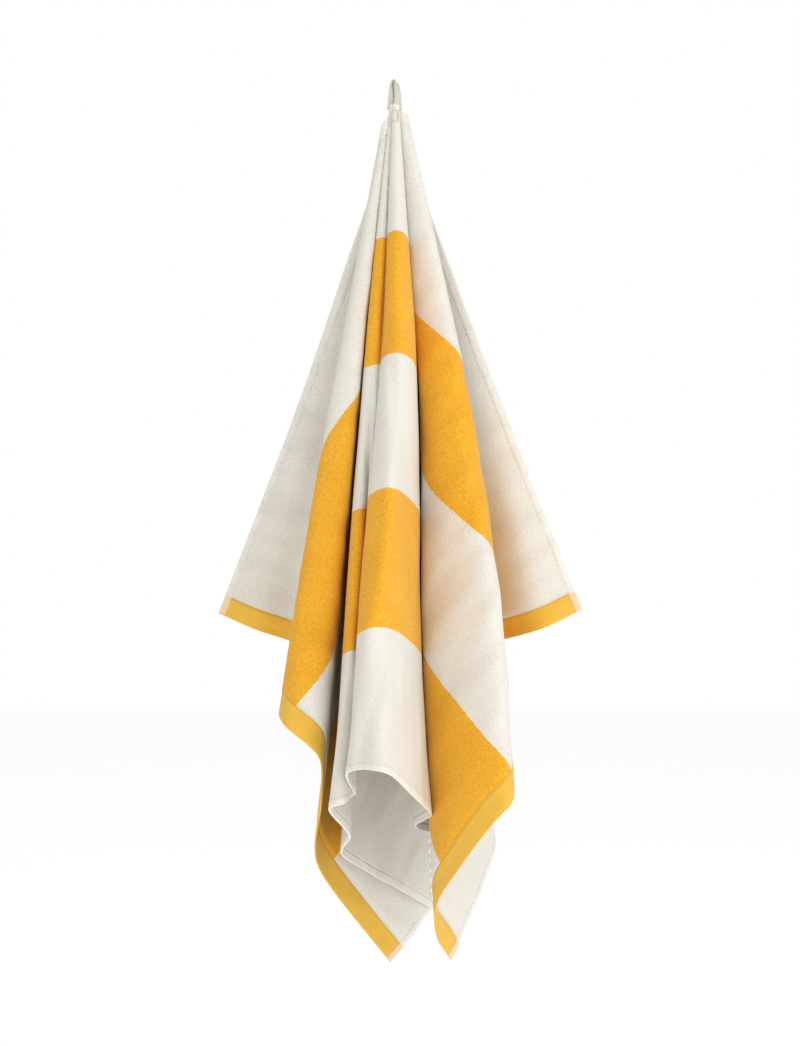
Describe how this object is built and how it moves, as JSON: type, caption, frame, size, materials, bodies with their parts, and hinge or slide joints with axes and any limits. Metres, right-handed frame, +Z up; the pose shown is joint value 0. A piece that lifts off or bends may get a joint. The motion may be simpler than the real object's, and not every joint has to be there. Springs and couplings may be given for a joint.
{
  "type": "striped beach towel",
  "caption": "Large striped terry towel hanging in folds from a tape loop at the middle of one long edge; it swings on the loop.",
  "frame": {"origin": "inside of the top of the hanging loop, where a hook bears", "axes": "+Z up, -Y towards the person looking at the towel, +X to their right along the towel's length"},
  "size_m": [0.522, 0.5328, 1.3066],
  "materials": {
    "terry": "looped cotton pile, matt, off-white with two wide yellow stripes",
    "flat_weave": "flat-woven cotton, matt, yellow",
    "side_hem": "turned and stitched cotton edge",
    "thread": "cotton sewing thread",
    "tape": "woven cotton tape"
  },
  "bodies": {
    "loop": {"hanging_loop": "tape"},
    "towel": {"terry_cloth": "terry", "left_end_hem": "flat_weave", "right_end_hem": "flat_weave", "loop_side_hem": "side_hem", "far_side_hem": "side_hem", "left_end_stitching": "thread", "right_end_stitching": "thread", "loop_side_stitching": "thread", "far_side_stitching": "thread", "loop_tack": "thread"}
  },
  "joints": [
    {"name": "towel_swing", "type": "hinge", "parent": "loop", "child": "towel", "pos_m": [0, 0, -0.04], "axis": [1, 0, 0], "range_deg": [-25, 25]}
  ]
}
